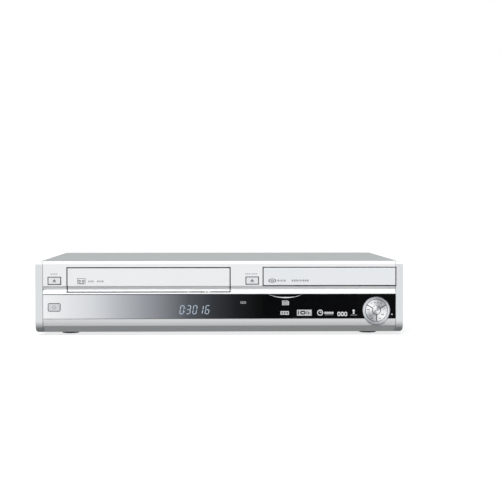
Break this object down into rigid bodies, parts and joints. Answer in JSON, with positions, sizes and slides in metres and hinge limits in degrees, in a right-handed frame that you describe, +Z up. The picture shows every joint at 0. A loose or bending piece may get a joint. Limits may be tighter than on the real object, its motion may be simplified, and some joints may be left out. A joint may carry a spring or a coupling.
{
  "type": "disc and cassette player",
  "caption": "Wide flat silver hi-fi machine that plays discs from a sliding tray and tapes through a hinged flap, with a glossy display window and a round key cluster.",
  "frame": {"origin": "centre of the footprint, on the surface that the feet stand on", "axes": "+X to the user's right, along the width; +Y to the rear, the front face looks towards -Y; +Z up"},
  "size_m": [0.43, 0.34, 0.0875],
  "materials": {
    "panel_silver": "silver painted moulding, fine satin",
    "cap_silver": "silver painted moulding, satin",
    "cover_grey": "fine textured grey powder coat",
    "zinc_steel": "zinc plated sheet",
    "window_print": "clear glossy acrylic, printed from silver to black behind",
    "door_black": "glossy black acrylic",
    "button_silver": "painted silver, satin gloss",
    "key_metal": "spun metal effect",
    "rubber_black": "matte moulded",
    "black_plastic": "fine spark texture",
    "grey_plastic": "moulded, satin",
    "white_plastic": "moulded acetal",
    "board_green": "solder resist over glass fibre",
    "socket_metal": "nickel plated shells",
    "display_glass": "smoked display glass",
    "cast_aluminium": "machined casting",
    "shaft_steel": "polished",
    "screw_steel": "black zinc"
  },
  "bodies": {
    "chassis": {"bottom_chassis": "zinc_steel", "top_cover": "cover_grey", "rear_panel": "zinc_steel", "front_panel": "panel_silver", "end_cap_left": "cap_silver", "end_cap_right": "cap_silver", "display_window": "window_print", "feet": "rubber_black", "case_screws": "screw_steel", "main_board": "board_green", "power_supply_board": "board_green", "mains_inlet": "black_plastic", "scart_sockets": "black_plastic", "av_sockets": "socket_metal", "aerial_sockets": "socket_metal", "fan_frame": "black_plastic", "hard_drive": "cast_aluminium", "drive_brackets": "zinc_steel", "deck_base": "cast_aluminium", "drum_base": "cast_aluminium", "capstan_motor": "black_plastic", "tape_guides": "shaft_steel", "loading_motor": "zinc_steel", "cassette_guides": "zinc_steel", "disc_drive_case": "zinc_steel", "disc_drive_lid": "zinc_steel", "disc_clamp": "white_plastic", "control_board": "board_green", "display_module": "display_glass", "front_sockets": "black_plastic", "key_ring": "key_metal", "tray_motor": "zinc_steel", "tray_belt": "rubber_black"},
    "cassette_flap": {"cassette_flap": "panel_silver"},
    "disc_tray": {"disc_tray": "black_plastic", "tray_fascia": "panel_silver"},
    "tray_gear": {"tray_gear": "white_plastic"},
    "motor_pulley": {"motor_pulley": "white_plastic"},
    "front_door": {"front_door": "door_black"},
    "power_button": {"power_button": "button_silver"},
    "cassette_eject_button": {"cassette_eject_button": "button_silver"},
    "disc_open_button": {"disc_open_button": "button_silver"},
    "key_up": {"key_up": "key_metal"},
    "key_left": {"key_left": "key_metal"},
    "key_right": {"key_right": "key_metal"},
    "key_centre": {"key_centre": "key_metal"},
    "fan_rotor": {"fan_rotor": "black_plastic"},
    "upper_drum": {"upper_drum": "cast_aluminium"},
    "capstan": {"capstan": "shaft_steel"},
    "supply_reel": {"supply_reel": "white_plastic"},
    "take_up_reel": {"take_up_reel": "white_plastic"},
    "pinch_arm": {"pinch_arm": "zinc_steel"},
    "pinch_roller": {"pinch_roller": "rubber_black"},
    "holder_slides": {"holder_slides": "zinc_steel"},
    "cassette_holder": {"cassette_holder": "zinc_steel"},
    "traverse": {"traverse_frame": "black_plastic", "guide_rods": "shaft_steel", "spindle_motor": "zinc_steel"},
    "turntable": {"turntable": "black_plastic"},
    "optical_sled": {"optical_sled": "grey_plastic"}
  },
  "joints": [
    {"name": "flap_swing", "type": "hinge", "parent": "chassis", "child": "cassette_flap", "pos_m": [-0.08302, -0.1643, 0.0823], "axis": [1, 0, 0], "range_deg": [0, 90], "stiffness_Nm_per_rad": 0.004, "springref_deg": -17.19},
    {"name": "tray_slide", "type": "slide", "parent": "chassis", "child": "disc_tray", "axis": [0, -1, 0], "range_m": [0, 0.132]},
    {"name": "tray_gear_spin", "type": "hinge", "parent": "chassis", "child": "tray_gear", "pos_m": [0.08014, -0.1413, 0.05], "axis": [0, 0, 1], "continuous": true},
    {"name": "motor_pulley_spin", "type": "hinge", "parent": "chassis", "child": "motor_pulley", "pos_m": [0.12414, -0.1413, 0.05], "axis": [0, 0, 1], "continuous": true},
    {"name": "front_door_drop", "type": "hinge", "parent": "chassis", "child": "front_door", "pos_m": [0.10519, -0.1681, 0.0215], "axis": [1, 0, 0], "range_deg": [0, 90]},
    {"name": "power_button_press", "type": "slide", "parent": "chassis", "child": "power_button", "axis": [0, 1, 0], "range_m": [0, 0.0007], "stiffness_N_per_m": 400, "springref_m": -0.001},
    {"name": "cassette_eject_button_press", "type": "slide", "parent": "chassis", "child": "cassette_eject_button", "axis": [0, 1, 0], "range_m": [0, 0.0007], "stiffness_N_per_m": 400, "springref_m": -0.001},
    {"name": "disc_open_button_press", "type": "slide", "parent": "chassis", "child": "disc_open_button", "axis": [0, 1, 0], "range_m": [0, 0.0007], "stiffness_N_per_m": 400, "springref_m": -0.001},
    {"name": "key_up_press", "type": "slide", "parent": "chassis", "child": "key_up", "axis": [0, 1, 0], "range_m": [0, 0.0007], "stiffness_N_per_m": 400, "springref_m": -0.001},
    {"name": "key_left_press", "type": "slide", "parent": "chassis", "child": "key_left", "axis": [0, 1, 0], "range_m": [0, 0.0007], "stiffness_N_per_m": 400, "springref_m": -0.001},
    {"name": "key_right_press", "type": "slide", "parent": "chassis", "child": "key_right", "axis": [0, 1, 0], "range_m": [0, 0.0007], "stiffness_N_per_m": 400, "springref_m": -0.001},
    {"name": "key_centre_press", "type": "slide", "parent": "chassis", "child": "key_centre", "axis": [0, 1, 0], "range_m": [0, 0.0007], "stiffness_N_per_m": 400, "springref_m": -0.001},
    {"name": "fan_spin", "type": "hinge", "parent": "chassis", "child": "fan_rotor", "pos_m": [-0.03, 0.1524, 0.046], "axis": [0, 1, 0], "continuous": true},
    {"name": "drum_spin", "type": "hinge", "parent": "chassis", "child": "upper_drum", "pos_m": [-0.08302, 0.00401, 0.031], "axis": [0, -0.1045, 0.9945], "continuous": true},
    {"name": "capstan_spin", "type": "hinge", "parent": "chassis", "child": "capstan", "pos_m": [-0.02802, -0.02999, 0.024], "axis": [0, 0, 1], "continuous": true},
    {"name": "supply_reel_spin", "type": "hinge", "parent": "chassis", "child": "supply_reel", "pos_m": [-0.12452, -0.0935, 0.026], "axis": [0, 0, 1], "continuous": true},
    {"name": "take_up_reel_spin", "type": "hinge", "parent": "chassis", "child": "take_up_reel", "pos_m": [-0.04152, -0.0935, 0.026], "axis": [0, 0, 1], "continuous": true},
    {"name": "pinch_arm_swing", "type": "hinge", "parent": "chassis", "child": "pinch_arm", "pos_m": [-0.00512, -0.02159, 0.026], "axis": [0, 0, 1], "range_deg": [0, 30], "stiffness_Nm_per_rad": 0.01, "springref_deg": -11.46},
    {"name": "pinch_roller_spin", "type": "hinge", "parent": "pinch_arm", "child": "pinch_roller", "pos_m": [-0.02496, -0.01014, 0.026], "axis": [0, 0, 1], "continuous": true},
    {"name": "holder_in", "type": "slide", "parent": "chassis", "child": "holder_slides", "axis": [0, 1, 0], "range_m": [0, 0.05]},
    {"name": "holder_down", "type": "slide", "parent": "holder_slides", "child": "cassette_holder", "axis": [0, 0, -1], "range_m": [0, 0.018]},
    {"name": "traverse_lift", "type": "slide", "parent": "chassis", "child": "traverse", "axis": [0, 0, 1], "range_m": [0, 0.006]},
    {"name": "turntable_spin", "type": "hinge", "parent": "traverse", "child": "turntable", "pos_m": [0.12858, -0.0993, 0.0623], "axis": [0, 0, 1], "continuous": true},
    {"name": "sled_travel", "type": "slide", "parent": "traverse", "child": "optical_sled", "axis": [0, 1, 0], "range_m": [0, 0.035]}
  ],
  "couplings": [
    {"joint": "tray_gear_spin", "follows": "tray_slide", "rad_per_m": 133.33},
    {"joint": "motor_pulley_spin", "follows": "tray_slide", "rad_per_m": 441.67}
  ]
}
